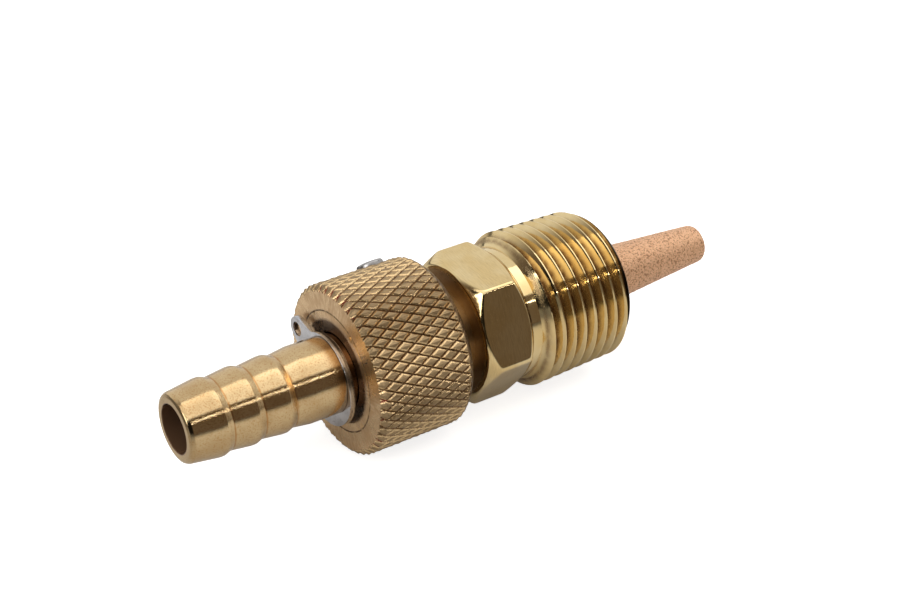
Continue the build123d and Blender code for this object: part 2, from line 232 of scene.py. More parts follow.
ring_span = -hexagon_front - 2 * rim_run
ring_places = [hexagon_front + rim_run + ring_span * crowded(ring / hexagon_rings)
               for ring in range(hexagon_rings + 1)]
body_outline = [
    (body_front, spigot_radius),
    (body_front, journal_radius),
    *seal_groove(hexagon_front - 11.71),
    *seal_groove(hexagon_front - 3.81),
    (hexagon_front, journal_radius),
    *rim_points(hexagon_front, 1),
    *[(x, corner_radius) for x in ring_places],
    *reversed(rim_points(0, -1)),
    (0, passage_radius),
    (web_rear, passage_radius),
    (web_rear, 0),
    (web_front, 0),
    (web_front, passage_radius),
    (body_front + spigot_length, passage_radius),
    (body_front + spigot_length, spigot_radius),
]
body_mesh = turn(body_outline, steps=hexagon_steps)
for vert in body_mesh.verts:
    radius = Vector(vert.co.yz).length / MM
    sixth = degrees(atan2(-vert.co.y, vert.co.z)) / 60
    angle = hexagon_turn + 60 * (floor(sixth) + crowded(sixth - floor(sixth)))
    if radius > corner_radius - 0.1:
        radius = milled(vert.co.x / MM, angle)
    vert.co.yz = Vector((-sin(radians(angle)), cos(radians(angle)))) * radius * MM
print("hexagon milled, across corners", round(2 * milled(hexagon_front / 2, hexagon_turn), 2), "mm")

# %% [markdown]
# ## The taper thread
#
# A pipe thread is a V groove that climbs a slender cone. One pitch of the V is drawn as a short line and spun
# round the axis while it moves along it, which gives a long ribbon whose turns meet edge to edge. Three things
# are then done to that ribbon, as a die and a lathe would do them: it is given the taper, it is turned down to
# the cones at both ends, and it is cut to length.

# %% Thread
pitch = 25.4 / 18
thread_depth = 0.72 * pitch
crest_flat = 0.09 * pitch
root_flat = 0.05 * pitch
taper = 1 / 32
end_radius = 8.335
relief_radius = 7.38
relief_end = 1.15
run_in = 0.9
end_chamfer = 0.8
thread_steps = 96


def thread_envelope(x):
    """Largest radius that the turned blank leaves for the thread at a place along X."""
    cone = end_radius + taper * (thread_end - x)
    full_radius = end_radius + taper * (thread_end - relief_end - run_in)
    start_cone = relief_radius + (x - relief_end) * (full_radius - relief_radius) / run_in
    end_cone = end_radius - end_chamfer + (thread_end - x)
    return min(cone, start_cone, end_cone)


flank = (pitch - crest_flat - root_flat) / 2
ridge = [(0, 0), (crest_flat / 2, 0), (crest_flat / 2 + flank / 2, -thread_depth / 2),
         (crest_flat / 2 + flank, -thread_depth), (crest_flat / 2 + flank + root_flat, -thread_depth),
         (pitch - crest_flat / 2 - flank / 2, -thread_depth / 2), (pitch - crest_flat / 2, 0), (pitch, 0)]
turns = int((thread_end - relief_end) / pitch) + 4
thread_mesh = bmesh.new()
first_crest = 1.56
first_x = first_crest - 2 * pitch
ridge_verts = [thread_mesh.verts.new(((first_x + x) * MM, 0, (end_radius + drop) * MM)) for x, drop in ridge]
ridge_edges = [thread_mesh.edges.new(pair) for pair in zip(ridge_verts, ridge_verts[1:])]
bmesh.ops.spin(thread_mesh, geom=ridge_verts + ridge_edges, cent=(0, 0, 0), axis=(1, 0, 0),
               dvec=(pitch / thread_steps * MM, 0, 0), angle=2 * pi * turns, steps=thread_steps * turns,
               use_merge=False, use_duplicate=False)
bmesh.ops.remove_doubles(thread_mesh, verts=thread_mesh.verts, dist=0.001 * MM)


def slice_at(bm, x, keep=None):
    """Cuts a mesh across the axis. keep says which side stays: after, before, or both if it is left out."""
    return bmesh.ops.bisect_plane(bm, geom=bm.verts[:] + bm.edges[:] + bm.faces[:], dist=0.0001 * MM,
                                  plane_co=(x * MM, 0, 0), plane_no=(1, 0, 0),
                                  clear_outer=keep == "before", clear_inner=keep == "after")


slice_at(thread_mesh, relief_end, keep="after")
slice_at(thread_mesh, thread_end, keep="before")
for cone_start, cone_length in ((relief_end, run_in), (thread_end - end_chamfer, end_chamfer)):
    for part in range(7):
        slice_at(thread_mesh, cone_start + cone_length * part / 6)
for vert in thread_mesh.verts:
    x = vert.co.x / MM
    radius = Vector(vert.co.yz).length / MM
    wanted = min(radius + taper * (thread_end - x), thread_envelope(x))
    vert.co.yz = vert.co.yz * (wanted / radius)
print("thread has", turns - 4, "turns and", len(thread_mesh.faces), "faces")

# %% [markdown]
# The ribbon is open at both ends. Its front edge is drawn forward over the relief neck to the hexagon, its rear
# edge inward over the end face to the seat of the filter, and both then meet in the bore. Each step extrudes an
# open loop of edges and sets the new points to a place and a radius.

# %% Close the thread round the bore
def open_loop(bm, x):
    """The open edges of a mesh at a place along X."""
    edges = [edge for edge in bm.edges if edge.is_boundary]
    return [edge for edge in edges if all(abs(vert.co.x / MM - x) < 0.001 for vert in edge.verts)]


def draw_loop(bm, edges, x, radius):
    """Extrudes a loop of edges and sets the new loop to a place and a radius. Returns the new edges."""
    new = bmesh.ops.extrude_edge_only(bm, edges=edges)["geom"]
    for vert in [part for part in new if isinstance(part, bmesh.types.BMVert)]:
        vert.co.yz = vert.co.yz.normalized() * radius * MM
        vert.co.x = x * MM
    return [part for part in new if isinstance(part, bmesh.types.BMEdge) and part.is_boundary]


filter_seat_depth = 2.6
front_loop = open_loop(thread_mesh, relief_end)
front_loop = draw_loop(thread_mesh, front_loop, 0, relief_radius)
front_loop = draw_loop(thread_mesh, front_loop, 0, passage_radius)
rear_loop = open_loop(thread_mesh, thread_end)
rear_loop = draw_loop(thread_mesh, rear_loop, thread_end, filter_radius)
rear_loop = draw_loop(thread_mesh, rear_loop, thread_end - filter_seat_depth, filter_radius)
rear_loop = draw_loop(thread_mesh, rear_loop, thread_end - filter_seat_depth, passage_radius)
bmesh.ops.bridge_loops(thread_mesh, edges=front_loop + rear_loop)
bmesh.ops.recalc_face_normals(thread_mesh, faces=thread_mesh.faces)

thread_part = bpy.data.meshes.new("thread_part")
thread_mesh.to_mesh(thread_part)
thread_mesh.free()
body_mesh.from_mesh(thread_part)
bpy.data.meshes.remove(thread_part)
valve_body = finished("valve_body_polished", body_mesh, smooth_below=28)
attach(valve_body, "fixed_valve")
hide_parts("valve_body")

# %% [markdown]
# ## The knurled sleeve
#
# A diamond knurl is rolled in by two wheels whose ridges lean opposite ways. Seen flat, it is a lattice of
# diamonds, each twice as long as it is wide. The lattice starts as a plain grid of squares. Insetting every
# square with a rise makes a field of low studs, a shear turns the squares into diamonds, planes trim the field
# to the sleeve's length and girth, and the trimmed field is rolled up round the axis.

# %% Knurl strip
knurl_teeth = 49
knurl_lean = 27.3
knurl_depth = 0.32
knurl_groove_width = 0.60
crossing_margin = 0.74
crossing_angle = 5.8
crown_height = 0.11
tooth_angle = 2 * pi / knurl_teeth
tooth_width = tooth_angle * sleeve_radius
tooth_length = tooth_width / tan(radians(knurl_lean))
groove_share = knurl_groove_width / 2 / (tooth_width * cos(radians(knurl_lean)))
print("knurl diamonds are", round(tooth_length, 2), "by", round(tooth_width, 2), "mm")

strip_cells = int((sleeve_rear - sleeve_front) / tooth_length) + 5
knurl = bmesh.new()
bmesh.ops.create_grid(knurl, x_segments=strip_cells, y_segments=strip_cells, size=strip_cells / 2)
bmesh.ops.inset_individual(knurl, faces=knurl.faces[:], thickness=groove_share,
                           depth=knurl_depth - crown_height)
tops = [face for face in knurl.faces if face.calc_center_median().z > 0.9 * (knurl_depth - crown_height)]
bmesh.ops.poke(knurl, faces=tops, offset=crown_height)
first_crossing = sleeve_front - crossing_margin
middle_crossing = first_crossing + tooth_length * round((sleeve_rear - sleeve_front) / tooth_length / 2)
grid_shift = (strip_cells % 2) / 2
for vert in knurl.verts:
    i, j, height = vert.co.x + grid_shift, vert.co.y + grid_shift, vert.co.z
    vert.co = (middle_crossing + (i + j) * tooth_length / 2, (i - j) * tooth_width / 2, height)


def trim(bm, place, outward):
    """Cuts away what lies beyond a plane."""
    bmesh.ops.bisect_plane(bm, geom=bm.verts[:] + bm.edges[:] + bm.faces[:], dist=0.0001, plane_co=place,
                           plane_no=outward, clear_outer=True, clear_inner=False)


trim(knurl, (sleeve_front, 0, 0), (-1, 0, 0))
trim(knurl, (sleeve_rear, 0, 0), (1, 0, 0))
trim(knurl, (0, 0, 0), (0, -1, 0))
trim(knurl, (0, tooth_width, 0), (0, 1, 0))
print("one tooth's strip has", len(knurl.faces), "faces")

# %% [markdown]
# The strip is cut across where the chamfers start, bent round the axis and repeated once for each tooth. The
# lathe chamfers the sleeve after knurling, so every point that stands above the chamfer's cone is brought down
# to it. That leaves the saw-tooth border that a real knurl has where it meets a chamfer.

# %% Roll up the knurl
sleeve_front_face_radius = 8.81
sleeve_front_chamfer = 0.52
sleeve_rear_face_radius = 8.56
sleeve_rear_chamfer = 0.77
sleeve_bore = 5.07


def sleeve_envelope(x):
    """Largest radius that the chamfers leave at a place along X."""
    front_slope = (sleeve_radius - sleeve_front_face_radius) / sleeve_front_chamfer
    rear_slope = (sleeve_radius - sleeve_rear_face_radius) / sleeve_rear_chamfer
    front_cone = sleeve_front_face_radius + (x - sleeve_front) * front_slope
    rear_cone = sleeve_rear_face_radius + (sleeve_rear - x) * rear_slope
    return min(sleeve_radius, front_cone, rear_cone)


chamfer_cuts = 5
for part in range(1, chamfer_cuts + 1):
    for x in (sleeve_front + sleeve_front_chamfer * part / chamfer_cuts,
              sleeve_rear - sleeve_rear_chamfer * part / chamfer_cuts):
        bmesh.ops.bisect_plane(knurl, geom=knurl.verts[:] + knurl.edges[:] + knurl.faces[:], dist=0.0001,
                               plane_co=(x, 0, 0), plane_no=(1, 0, 0))
for vert in knurl.verts:
    x, along_girth, height = vert.co
    angle = along_girth / sleeve_radius + radians(crossing_angle)
    radius = sleeve_radius - knurl_depth + height
    if x < sleeve_front + sleeve_front_chamfer:
        radius -= sleeve_radius - sleeve_envelope(x)
    radius = min(radius, sleeve_envelope(x))
    vert.co = Vector((x, -radius * sin(angle), radius * cos(angle))) * MM
bmesh.ops.spin(knurl, geom=knurl.verts[:] + knurl.edges[:] + knurl.faces[:], cent=(0, 0, 0), axis=(1, 0, 0),
               dvec=(0, 0, 0), angle=2 * pi - tooth_angle, steps=knurl_teeth - 1,
               use_merge=False, use_duplicate=True)
bmesh.ops.remove_doubles(knurl, verts=knurl.verts, dist=0.002 * MM)
torn_size = 0.5
torn_depth = 0.05
for vert in knurl.verts:
    sunk = sleeve_radius - Vector(vert.co.yz).length / MM
    if sunk < crown_height + 0.01 and sleeve_front + 0.6 < vert.co.x / MM < sleeve_rear - 0.8:
        torn = 0.5 + 0.5 * noise.noise(vert.co / (torn_size * MM))
        vert.co.yz = vert.co.yz * (1 - torn * torn_depth / sleeve_radius)
print("knurl has", len(knurl.faces), "faces,", len([e for e in knurl.edges if e.is_boundary]), "open edges")

# %% Close the sleeve
sleeve_front_loop = open_loop(knurl, sleeve_front)
sleeve_rear_loop = open_loop(knurl, sleeve_rear)
for x, radius in ((sleeve_front, washer_radius), (washer_rear, washer_radius), (washer_rear, sleeve_bore)):
    sleeve_front_loop = draw_loop(knurl, sleeve_front_loop, x, radius)
sleeve_rear_loop = draw_loop(knurl, sleeve_rear_loop, sleeve_rear, sleeve_bore)
bmesh.ops.bridge_loops(knurl, edges=sleeve_front_loop + sleeve_rear_loop)
knurled_sleeve = finished("knurled_sleeve_rolled", knurl, smooth_below=24)
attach(knurled_sleeve, "turning_sleeve")
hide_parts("knurled_sleeve")

# %% [markdown]
# ## The end washer
#
# A flat brass disc lies flush in the sleeve's face. Only a hair-thin joint and a shallow recess round the stem
# give it away, so both are in its outline, and its rims get a very small bevel that makes the joint a line.

# %% End washer
washer_bore = 4.26
recess_radius = 5.49
recess_depth = 0.15
joint_play = 0.03
washer_mesh = turn([
    (washer_front + recess_depth, washer_bore),
    (washer_front + recess_depth, recess_radius),
    (washer_front, recess_radius),
    (washer_front, washer_radius - 0.45),
    (washer_front, washer_radius - 0.25),
    (washer_front, washer_radius - joint_play),
    (washer_rear, washer_radius - joint_play),
    (washer_rear, washer_bore),
])
soften(washer_mesh, 0.06, segments=2)
pit_angles = (31, 128, 139, 236, 322)
pit_width, pit_depth = 2.6, 0.16
for vert in washer_mesh.verts:
    near_joint = Vector(vert.co.yz).length / MM > washer_radius - 0.3 and vert.co.x / MM < washer_front + 0.1
    angle = degrees(atan2(-vert.co.y, vert.co.z)) % 360
    closest = min(abs(angle - pit) for pit in pit_angles)
    if near_joint and closest < pit_width:
        vert.co.x += pit_depth * (1 - closest / pit_width) * MM
end_washer = finished("end_washer_turned", washer_mesh)
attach(end_washer, "turning_sleeve")
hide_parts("end_washer")

# %% [markdown]
# ## The retaining ring
#
# The ring is stamped from sheet, and the punch leaves its front edge rounded. The frame's own solid has the
# outline, so a copy of its mesh is taken, its triangles are merged back to whole faces, and the edges round
# both faces are bevelled.

# %% Retaining ring
ring_rounding = 0.22
ring_mesh = bmesh.new()
ring_mesh.from_mesh(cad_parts["retaining_ring"].data)
bmesh.ops.remove_doubles(ring_mesh, verts=ring_mesh.verts, dist=0.001 * MM)
bmesh.ops.dissolve_limit(ring_mesh, angle_limit=radians(1), use_dissolve_boundaries=False,
                         verts=ring_mesh.verts, edges=ring_mesh.edges, delimit=set())
soften(ring_mesh, ring_rounding, angle=60, segments=4)
retaining_ring = finished("retaining_ring_stamped", ring_mesh)
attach(retaining_ring, "fixed_valve")
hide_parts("retaining_ring")

# %% [markdown]
# ## The filter cone
#
# The filter is bronze powder pressed in a mould and baked until the grains stick. Its surface is all small
# bumps and pores. The cone is spun from an outline with many short steps, so that a noise with the size of the
# grains can move each point a little along its normal.

# %% Filter cone
filter_tip_radius = 2.17
filter_rounding = 0.7
filter_wall = 0.9
grain_size = 0.33
grain_height = 0.035
cone_steps = 90
rounding_steps = 6
cone_length = filter_tip - filter_rounding - thread_end


def cone_radius(x):
    """Radius of the filter's cone at a place along X."""
    return filter_radius + (filter_tip_radius - filter_radius) * (x - thread_end) / (filter_tip - thread_end)


cone_outline = [(filter_foot, filter_radius - filter_wall), (filter_foot, filter_radius)]
cone_outline += [(thread_end + cone_length * step / cone_steps,
                  cone_radius(thread_end + cone_length * step / cone_steps)) for step in range(cone_steps + 1)]
rounding_centre = cone_radius(filter_tip - filter_rounding) - filter_rounding
for step in range(1, rounding_steps + 1):
    angle = pi / 2 * step / rounding_steps
    cone_outline.append((filter_tip - filter_rounding + filter_rounding * sin(angle),
                         rounding_centre + filter_rounding * cos(angle)))
tip_rings = 10
cone_outline += [(filter_tip, rounding_centre * (1 - step / tip_rings)) for step in range(1, tip_rings + 1)]
cone_outline += [(filter_tip - 1.2, 0), (filter_tip - 1.2, filter_tip_radius - filter_wall),
                 (thread_end, filter_radius - filter_wall)]
filter_mesh = turn(cone_outline, steps=120)
filter_mesh.normal_update()
moves = []
for vert in filter_mesh.verts:
    x, radius = vert.co.x / MM, Vector(vert.co.yz).length / MM
    outside = x > thread_end + 0.05 and (radius > cone_radius(x) - 0.1 or x > filter_tip - filter_rounding)
    if outside:
        grain = noise.noise(vert.co / (grain_size * MM)) - 1
        moves.append((vert, vert.normal * grain * grain_height * MM))
for vert, move in moves:
    vert.co += move
inlet_filter = finished("inlet_filter_sintered", filter_mesh, smooth_below=60)
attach(inlet_filter, "fixed_valve")
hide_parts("inlet_filter")

# %% [markdown]
# ## The set screw
#
# A short slotted screw closes the hole over the detent spring, and stands out of the knurl by less than half a
# millimetre. It is made upright at the origin: a circle is extruded to a shaft and its rim is bevelled. Three
# planes then mark the slot, the faces between them are deleted, and the walls and the floor of the slot are
# filled in. Last, the screw is turned and moved to its hole.

# %% Set screw
screw_angle = -40
screw_x = hexagon_front - 5.84
screw_radius = 1.48
screw_length = 1.6
screw_proud = 0.34
screw_rim = 0.3
slot_width = 0.4
slot_depth = 0.5
screw_mesh = bmesh.new()
bmesh.ops.create_circle(screw_mesh, cap_ends=True, segments=64, radius=screw_radius)
shaft = bmesh.ops.extrude_face_region(screw_mesh, geom=screw_mesh.faces[:])["geom"]
bmesh.ops.translate(screw_mesh, verts=[part for part in shaft if isinstance(part, bmesh.types.BMVert)],
                    vec=(0, 0, screw_length))
rims = [edge for edge in screw_mesh.edges if edge.calc_face_angle() > radians(60)]
bmesh.ops.bevel(screw_mesh, geom=rims, offset=screw_rim, affect="EDGES", segments=5, profile=0.5, material=-1)
slot_floor = screw_length - slot_depth
for place, facing in (((0, slot_width / 2, 0), (0, 1, 0)), ((0, -slot_width / 2, 0), (0, 1, 0)),
                      ((0, 0, slot_floor), (0, 0, 1))):
    bmesh.ops.bisect_plane(screw_mesh, geom=screw_mesh.verts[:] + screw_mesh.edges[:] + screw_mesh.faces[:],
                           dist=0.00001, plane_co=place, plane_no=facing)
slot_faces = [face for face in screw_mesh.faces if face.calc_center_median().z > slot_floor
              and abs(face.calc_center_median().y) < slot_width / 2]
bmesh.ops.delete(screw_mesh, geom=slot_faces, context="FACES")
slot_rim = [edge for edge in screw_mesh.edges if edge.is_boundary]
for side in (-1, 1):
    corners = [vert for vert in {vert for edge in slot_rim for vert in edge.verts}
               if abs(vert.co.z - slot_floor) < 0.0001 and abs(vert.co.y - side * slot_width / 2) < 0.0001]
    slot_rim.append(screw_mesh.edges.new(corners))
bmesh.ops.edgenet_fill(screw_mesh, edges=slot_rim)
bmesh.ops.recalc_face_normals(screw_mesh, faces=screw_mesh.faces)
print("set screw has", len([edge for edge in screw_mesh.edges if not edge.is_manifold]), "open edges")
outward = Vector((0, -sin(radians(screw_angle)), cos(radians(screw_angle))))
foot = Vector((screw_x, 0, 0)) + outward * (sleeve_radius + screw_proud - screw_length)
bmesh.ops.transform(screw_mesh, verts=screw_mesh.verts,
                    matrix=Matrix.Scale(MM, 4) @ Matrix.Translation(foot)
                    @ Matrix.Rotation(radians(screw_angle), 4, "X"))
set_screw = finished("set_screw_slotted", screw_mesh, smooth_below=40)
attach(set_screw, "turning_sleeve")
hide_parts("set_screw")

# %% [markdown]
# ## Building blocks for the finishes
#
# Every finish below is a small tree of shader nodes. All of them start from Object coordinates, so a pattern sits
# still on its piece and goes with it when the sleeve turns. A few short helpers keep the trees readable: they add
# a node and fill its inputs, rescale a value, mix two colours, and make a noise whose features have a real size.

# %% Node helpers
def node(tree, kind, inputs=None, **settings):
    """Adds a shader node. Its inputs are plain values or the outputs of other nodes."""
    made = tree.nodes.new("ShaderNode" + kind)
    for name, value in settings.items():
        setattr(made, name, value)
    for name, value in (inputs or {}).items():
        if isinstance(value, bpy.types.NodeSocket):
            tree.links.new(value, made.inputs[name])
        else:
            made.inputs[name].default_value = value
    return made


def calculate(tree, operation, first, second=0.0):
    """One step of arithmetic on two values."""
    return node(tree, "Math", {0: first, 1: second}, operation=operation).outputs[0]


def rescale(tree, value, start, end, low=0.0, high=1.0):
    """Turns the range start to end of a value, with soft ends, into the range low to high."""
    return node(tree, "MapRange", {"Value": value, "From Min": start, "From Max": end, "To Min": low,
                                   "To Max": high}, interpolation_type="SMOOTHSTEP").outputs["Result"]


def mix_colours(tree, share, first, second):
    """A colour between two others."""
    mixer = node(tree, "Mix", data_type="RGBA")
    tree.links.new(share, mixer.inputs[0])
    for socket, colour in ((mixer.inputs[6], first), (mixer.inputs[7], second)):
        if isinstance(colour, bpy.types.NodeSocket):
            tree.links.new(colour, socket)
        else:
            socket.default_value = (*colour, 1)
    return mixer.outputs[2]


def grain(tree, place, size, detail=3.0, stretch=(1, 1, 1)):
    """A noise whose features have a size in millimetres, longer where stretch is over one."""
    spread = node(tree, "VectorMath", {0: place, 1: [1 / share for share in stretch]}, operation="MULTIPLY")
    return node(tree, "TexNoise", {"Vector": spread.outputs[0], "Scale": 1 / (size * MM), "Detail": detail,
                                   "Roughness": 0.55}).outputs[0]


print("node helpers are ready")

# %% [markdown]
# ## One base for all metals
#
# The metals differ in colour and in how they were made, but a few things are common to all of them: where a point
# lies along the axis, how far it is from the axis, and at which angle round it. With the first two a finish can
# draw the rings that a lathe tool leaves, and with the third the marks that run outwards across a faced end.

# %% Metal base
def start_finish(name, metallic=1.0):
    """A new material. Returns it with its tree, its shader and the Object coordinates."""
    made = bpy.data.materials.new(name)
    made.use_nodes = True
    shader = made.node_tree.nodes["Principled BSDF"]
    shader.inputs["Metallic"].default_value = metallic
    return made, made.node_tree, shader, node(made.node_tree, "TexCoord").outputs["Object"]


def turned_places(tree, place):
    """The place along the axis, the distance from it, and the angle round it, of a point on a turned part."""
    parts = node(tree, "SeparateXYZ", {0: place})
    across = node(tree, "VectorMath", {0: place, 1: (0, 1, 1)}, operation="MULTIPLY").outputs[0]
    radius = node(tree, "VectorMath", {0: across}, operation="LENGTH").outputs["Value"]
    angle = calculate(tree, "ARCTAN2", parts.outputs["Y"], parts.outputs["Z"])
    return parts.outputs["X"], radius, angle


def tool_rings(tree, along, radius, size):
    """Rings left by a lathe tool: a noise that changes along the axis and outwards, but not round it."""
    return grain(tree, node(tree, "CombineXYZ", {"X": along, "Y": radius}).outputs[0], size, detail=4.0)


def relief(tree, shader, height, depth, after=None):
    """Raises a surface by a height from 0 to 1 times a depth in millimetres, on top of an earlier relief."""
    bump = node(tree, "Bump", {"Height": height, "Distance": depth * MM, "Strength": 1.0})
    if after:
        tree.links.new(after, bump.inputs["Normal"])
    tree.links.new(bump.outputs[0], shader.inputs["Normal"])
    return bump.outputs[0]


def put_on(made, *pieces):
    """Gives a material to pieces, and to every slot of the pieces that already have some."""
    for piece in pieces:
        if not piece.material_slots:
            piece.data.materials.append(made)
        for slot in piece.material_slots:
            slot.material = made
    print(made.name, "on", len(pieces), "pieces,", len(made.node_tree.nodes), "nodes")

# %% [markdown]
# ## Polished brass
#
# The body was turned with a fine feed and then buffed. The buffing leaves a mirror with faint rings on the round
# parts and faint long streaks on the flats. Buffing wheels do not reach the bottom of the thread, so brown
# tarnish stays there, and handling leaves soft duller clouds all over.

# %% Polished brass
brass_light = (0.80, 0.63, 0.34)
brass_deep = (0.74, 0.55, 0.26)
brass_tarnish = (0.27, 0.165, 0.08)
rim_reflection_black = (0.03, 0.022, 0.015)
gap_shade_brown = (0.20, 0.085, 0.035)

polished_brass, tree, shader, place = start_finish("polished_brass")
along, radius, angle = turned_places(tree, place)
clouds = grain(tree, place, 4.0)
fine = grain(tree, place, 0.25, detail=5.0)
colour = mix_colours(tree, rescale(tree, clouds, 0.35, 0.65), brass_light, brass_deep)
cone_here = calculate(tree, "SUBTRACT", (end_radius + taper * thread_end) * MM,
                      calculate(tree, "MULTIPLY", along, taper))
sunk = calculate(tree, "SUBTRACT", cone_here, radius)
in_groove = rescale(tree, sunk, 0.22 * thread_depth * MM, 1.0 * thread_depth * MM)
on_thread = calculate(tree, "MULTIPLY", rescale(tree, sunk, 1.6 * MM, 1.4 * MM),
                      rescale(tree, along, (relief_end + 0.1) * MM, (relief_end + 0.4) * MM))
patchy = rescale(tree, grain(tree, place, 0.9), 0.3, 0.6, 0.45, 1.0)
tarnish = calculate(tree, "MULTIPLY", calculate(tree, "MULTIPLY", in_groove, on_thread), patchy)
colour = mix_colours(tree, tarnish, colour, brass_tarnish)
# Painted shade: the hexagon's front face, down in the narrow gap to the sleeve, is darkened to brown and made duller.
gap_shade = calculate(tree, "MULTIPLY", rescale(tree, along, (hexagon_front + 0.02) * MM, hexagon_front * MM, 0, 0.6),
                   rescale(tree, radius, (hexagon_face_radius - 0.1) * MM, (hexagon_face_radius - 0.6) * MM))
colour = mix_colours(tree, gap_shade, colour, gap_shade_brown)
streaks = grain(tree, place, 0.07, detail=4.0, stretch=(1, 14, 14))
on_hexagon = calculate(tree, "MULTIPLY", rescale(tree, along, -0.01 * MM, 0.0, 1.0, 0.0),
                       rescale(tree, radius, 5.5 * MM, 5.6 * MM))
streaked = calculate(tree, "MULTIPLY", on_hexagon, rescale(tree, streaks, 0.42, 0.68, 0.0, 0.20))
colour = mix_colours(tree, streaked, colour, brass_tarnish)
# Painted reflection: the chamfered rim at the thread's end is painted near black, as a dark reflection.
on_end_rim = calculate(tree, "MULTIPLY", rescale(tree, sunk, 1.1 * MM, 0.9 * MM),
                       rescale(tree, along, (thread_end - 0.42) * MM, (thread_end - 0.3) * MM))
tree.links.new(mix_colours(tree, on_end_rim, colour, rim_reflection_black), shader.inputs["Base Color"])
dull = calculate(tree, "ADD", rescale(tree, clouds, 0.4, 0.7, 0.05, 0.12), rescale(tree, fine, 0.5, 0.75, 0, 0.1))
dull = calculate(tree, "ADD", dull, calculate(tree, "MULTIPLY", gap_shade, 0.4))
tree.links.new(calculate(tree, "ADD", dull, calculate(tree, "MULTIPLY", tarnish, 0.25)),
               shader.inputs["Roughness"])
rings = tool_rings(tree, along, radius, 0.14)
marks = node(tree, "Mix", {0: on_hexagon, 2: rings, 3: streaks}).outputs[0]
relief(tree, shader, fine, 0.001, after=relief(tree, shader, marks, 0.003))
put_on(polished_brass, valve_body)

# %% [markdown]
# ## Satin brass
#
# The hose tail comes off another machine with a coarser feed, and nobody buffs it. Its rings are easy to see,
# its highlight is broad, and the valleys behind the barbs keep an orange-brown film of oil and oxide.

# %% Satin brass
satin_light = (0.66, 0.49, 0.265)
satin_deep = (0.56, 0.39, 0.195)
oil_film = (0.45, 0.23, 0.08)
painted_shade_brown = (0.22, 0.12, 0.065)

satin_brass, tree, shader, place = start_finish("satin_brass")
along, radius, angle = turned_places(tree, place)
clouds = grain(tree, place, 2.2)
rings = tool_rings(tree, along, radius, 0.13)
speckle = grain(tree, place, 0.16, detail=4.0)
colour = mix_colours(tree, rescale(tree, clouds, 0.3, 0.7), satin_light, satin_deep)
colour = mix_colours(tree, rescale(tree, speckle, 0.48, 0.70, 0.0, 0.65), colour, oil_film)
in_valley = rescale(tree, radius, (barb_valley + 0.025) * MM, (barb_valley + 0.005) * MM, 0.0, 1.5)
on_barbs = calculate(tree, "MULTIPLY", rescale(tree, along, (crest + 2) * MM, (crest + 1) * MM),
                     rescale(tree, along, (tail_tip + 1.5) * MM, (tail_tip + 2.0) * MM))
film = calculate(tree, "MULTIPLY", calculate(tree, "MULTIPLY", in_valley, on_barbs),
                 rescale(tree, grain(tree, place, 1.1), 0.3, 0.6, 0.15, 0.6))
# Painted shade: the stem darkens to brown as it nears the retaining ring, and the bore is painted brown and made less
# metallic.
ring_shade = rescale(tree, along, (ring_front - 1.4) * MM, (ring_rear + 0.2) * MM, 0.0, 0.9)
bore_shade = rescale(tree, radius, (tail_bore + 0.15) * MM, (tail_bore + 0.02) * MM)
colour = mix_colours(tree, film, colour, oil_film)
colour = mix_colours(tree, ring_shade, colour, painted_shade_brown)
tree.links.new(mix_colours(tree, bore_shade, colour, painted_shade_brown), shader.inputs["Base Color"])
dull = calculate(tree, "ADD", rescale(tree, rings, 0.35, 0.7, 0.05, 0.10),
                 rescale(tree, clouds, 0.45, 0.7, 0.0, 0.05))
tree.links.new(dull, shader.inputs["Roughness"])
tree.links.new(rescale(tree, bore_shade, 0.0, 1.0, 1.0, 0.5), shader.inputs["Metallic"])
relief(tree, shader, grain(tree, place, 0.08, detail=2.0), 0.0055, after=relief(tree, shader, rings, 0.007))
put_on(satin_brass, outlet_tail)

# %% [markdown]
# ## Knurled brass
#
# Rolling squeezes the brass up between the ridges of the wheels, so the tops of the diamonds are torn and dull,
# and their flanks are burnished. The grooves hold cutting oil that later went dark brown, with red patches near
# the front edge, and the same brown is painted shade deep in the grooves as well. How far a point lies under the
# sleeve's full girth tells which of these it is.

# %% Knurled brass
knurl_top = (0.34, 0.235, 0.125)
knurl_flank = (0.70, 0.50, 0.265)
oil_and_shade_brown = (0.11, 0.05, 0.018)
red_oxide = (0.16, 0.02, 0.012)

knurled_brass, tree, shader, place = start_finish("knurled_brass")
along, radius, angle = turned_places(tree, place)
front_slope = (sleeve_radius - sleeve_front_face_radius) / sleeve_front_chamfer
rear_slope = (sleeve_radius - sleeve_rear_face_radius) / sleeve_rear_chamfer
front_cone = calculate(tree, "ADD", calculate(tree, "MULTIPLY", along, front_slope),
                       (sleeve_front_face_radius - sleeve_front * front_slope) * MM)
rear_cone = calculate(tree, "ADD", calculate(tree, "MULTIPLY", along, -rear_slope),
                      (sleeve_rear_face_radius + sleeve_rear * rear_slope) * MM)
girth = calculate(tree, "MINIMUM", calculate(tree, "MINIMUM", front_cone, rear_cone), sleeve_radius * MM)
sunk = calculate(tree, "SUBTRACT", girth, radius)
torn = grain(tree, place, 0.13, detail=6.0)
lumps = grain(tree, place, 0.5, detail=3.0)
colour = mix_colours(tree, rescale(tree, sunk, (crown_height + 0.01) * MM, (crown_height + 0.05) * MM),
                     knurl_top, knurl_flank)
near_front = rescale(tree, along, (sleeve_front + 0.5) * MM, (sleeve_front + 1.1) * MM, 1.0, 0.0)
red_patches = calculate(tree, "MULTIPLY", near_front, rescale(tree, grain(tree, place, 3.5), 0.48, 0.56))
grime_and_shade_colour = mix_colours(tree, red_patches, oil_and_shade_brown, red_oxide)
